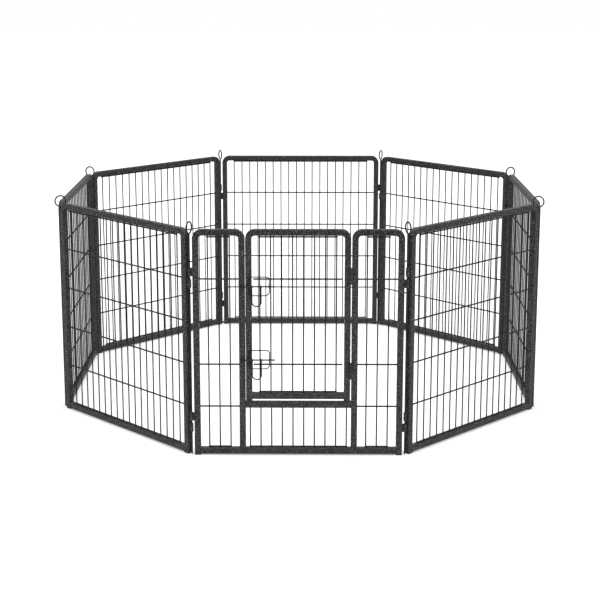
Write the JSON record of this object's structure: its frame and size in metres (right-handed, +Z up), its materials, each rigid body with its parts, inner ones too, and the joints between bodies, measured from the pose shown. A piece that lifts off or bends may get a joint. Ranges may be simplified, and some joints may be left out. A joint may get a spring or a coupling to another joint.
{
  "type": "pet playpen",
  "caption": "Folding metal pet pen of barred panels joined by lift-out corner pins, with a bolted gate in front.",
  "frame": {"origin": "on the floor at the middle of the pen", "axes": "+Z up, the front panel with the gate faces -Y, +X to the right seen from the front"},
  "size_m": [1.8782, 1.8782, 0.8483],
  "materials": {
    "frame_paint": "hammertone enamel",
    "wire_paint": "semi-gloss enamel",
    "pin_paint": "semi-gloss enamel",
    "latch_paint": "satin enamel",
    "cap_plastic": "moulded, matte"
  },
  "bodies": {
    "front": {"front_side_arches": "frame_paint", "front_rails": "frame_paint", "front_mats": "wire_paint", "front_hinge_sleeves": "frame_paint", "front_end_caps": "cap_plastic", "front_bolt_keepers": "latch_paint"},
    "right_front": {"right_front_frame": "frame_paint", "right_front_bottom_rail": "frame_paint", "right_front_mat": "wire_paint", "right_front_hinge_sleeves": "frame_paint", "right_front_end_caps": "cap_plastic"},
    "right": {"right_frame": "frame_paint", "right_bottom_rail": "frame_paint", "right_mat": "wire_paint", "right_hinge_sleeves": "frame_paint", "right_end_caps": "cap_plastic"},
    "right_back": {"right_back_frame": "frame_paint", "right_back_bottom_rail": "frame_paint", "right_back_mat": "wire_paint", "right_back_hinge_sleeves": "frame_paint", "right_back_end_caps": "cap_plastic"},
    "back": {"back_frame": "frame_paint", "back_bottom_rail": "frame_paint", "back_mat": "wire_paint", "back_hinge_sleeves": "frame_paint", "back_end_caps": "cap_plastic"},
    "left_back": {"left_back_frame": "frame_paint", "left_back_bottom_rail": "frame_paint", "left_back_mat": "wire_paint", "left_back_hinge_sleeves": "frame_paint", "left_back_end_caps": "cap_plastic"},
    "left": {"left_frame": "frame_paint", "left_bottom_rail": "frame_paint", "left_mat": "wire_paint", "left_hinge_sleeves": "frame_paint", "left_end_caps": "cap_plastic"},
    "left_front": {"left_front_frame": "frame_paint", "left_front_bottom_rail": "frame_paint", "left_front_mat": "wire_paint", "left_front_hinge_sleeves": "frame_paint", "left_front_end_caps": "cap_plastic"},
    "gate": {"gate_frame": "frame_paint", "gate_bottom_rail": "frame_paint", "gate_mat": "wire_paint", "gate_hinge_knuckles": "latch_paint", "gate_end_caps": "cap_plastic", "lower_bolt_guard": "latch_paint", "upper_bolt_guard": "latch_paint"},
    "lower_bolt": {"lower_bolt": "latch_paint"},
    "lower_drop_handle": {"lower_drop_handle": "latch_paint"},
    "upper_bolt": {"upper_bolt": "latch_paint"},
    "upper_drop_handle": {"upper_drop_handle": "latch_paint"},
    "corner_pin_1": {"corner_pin_1": "pin_paint"},
    "corner_pin_2": {"corner_pin_2": "pin_paint"},
    "corner_pin_3": {"corner_pin_3": "pin_paint"},
    "corner_pin_4": {"corner_pin_4": "pin_paint"},
    "corner_pin_5": {"corner_pin_5": "pin_paint"},
    "corner_pin_6": {"corner_pin_6": "pin_paint"},
    "corner_pin_7": {"corner_pin_7": "pin_paint"},
    "corner_pin_8": {"corner_pin_8": "pin_paint"}
  },
  "joints": [
    {"name": "fold", "type": "hinge", "parent": "front", "child": "right_front", "pos_m": [0.38, -0.9174, 0.4], "axis": [0, 0, 1], "range_deg": [-45, 45]},
    {"name": "fold_right", "type": "hinge", "parent": "right_front", "child": "right", "pos_m": [0.9174, -0.38, 0.4], "axis": [0, 0, 1], "range_deg": [-45, 45]},
    {"name": "fold_right_back", "type": "hinge", "parent": "right", "child": "right_back", "pos_m": [0.9174, 0.38, 0.4], "axis": [0, 0, 1], "range_deg": [-45, 45]},
    {"name": "fold_back", "type": "hinge", "parent": "right_back", "child": "back", "pos_m": [0.38, 0.9174, 0.4], "axis": [0, 0, 1], "range_deg": [-45, 45]},
    {"name": "fold_left_front", "type": "hinge", "parent": "front", "child": "left_front", "pos_m": [-0.38, -0.9174, 0.4], "axis": [0, 0, 1], "range_deg": [-45, 45]},
    {"name": "fold_left", "type": "hinge", "parent": "left_front", "child": "left", "pos_m": [-0.9174, -0.38, 0.4], "axis": [0, 0, 1], "range_deg": [-45, 45]},
    {"name": "fold_left_back", "type": "hinge", "parent": "left", "child": "left_back", "pos_m": [-0.9174, 0.38, 0.4], "axis": [0, 0, 1], "range_deg": [-45, 45]},
    {"name": "gate_swing", "type": "hinge", "parent": "front", "child": "gate", "pos_m": [0.1851, -0.9339, 0.45], "axis": [0, 0, 1], "range_deg": [0, 160]},
    {"name": "lower_bolt_slide", "type": "slide", "parent": "gate", "child": "lower_bolt", "axis": [1, 0, 0], "range_m": [0, 0.022]},
    {"name": "lower_handle_swing", "type": "hinge", "parent": "lower_bolt", "child": "lower_drop_handle", "pos_m": [-0.146, -0.935, 0.354], "axis": [-1, 0, 0], "range_deg": [0, 170]},
    {"name": "upper_bolt_slide", "type": "slide", "parent": "gate", "child": "upper_bolt", "axis": [1, 0, 0], "range_m": [0, 0.022]},
    {"name": "upper_handle_swing", "type": "hinge", "parent": "upper_bolt", "child": "upper_drop_handle", "pos_m": [-0.146, -0.935, 0.619], "axis": [-1, 0, 0], "range_deg": [0, 170]},
    {"name": "pin_1_lift", "type": "slide", "parent": "front", "child": "corner_pin_1", "axis": [0, 0, 1], "range_m": [0, 0.7]},
    {"name": "pin_2_lift", "type": "slide", "parent": "right_front", "child": "corner_pin_2", "axis": [0, 0, 1], "range_m": [0, 0.7]},
    {"name": "pin_3_lift", "type": "slide", "parent": "right", "child": "corner_pin_3", "axis": [0, 0, 1], "range_m": [0, 0.7]},
    {"name": "pin_4_lift", "type": "slide", "parent": "right_back", "child": "corner_pin_4", "axis": [0, 0, 1], "range_m": [0, 0.7]},
    {"name": "pin_5_lift", "type": "slide", "parent": "back", "child": "corner_pin_5", "axis": [0, 0, 1], "range_m": [0, 0.7]},
    {"name": "pin_6_lift", "type": "slide", "parent": "left_back", "child": "corner_pin_6", "axis": [0, 0, 1], "range_m": [0, 0.7]},
    {"name": "pin_7_lift", "type": "slide", "parent": "left", "child": "corner_pin_7", "axis": [0, 0, 1], "range_m": [0, 0.7]},
    {"name": "pin_8_lift", "type": "slide", "parent": "left_front", "child": "corner_pin_8", "axis": [0, 0, 1], "range_m": [0, 0.7]}
  ],
  "couplings": [
    {"joint": "fold_right", "follows": "fold", "ratio": -1},
    {"joint": "fold_right_back", "follows": "fold", "ratio": 1},
    {"joint": "fold_back", "follows": "fold", "ratio": -1},
    {"joint": "fold_left_front", "follows": "fold", "ratio": 1},
    {"joint": "fold_left", "follows": "fold", "ratio": -1},
    {"joint": "fold_left_back", "follows": "fold", "ratio": 1}
  ]
}
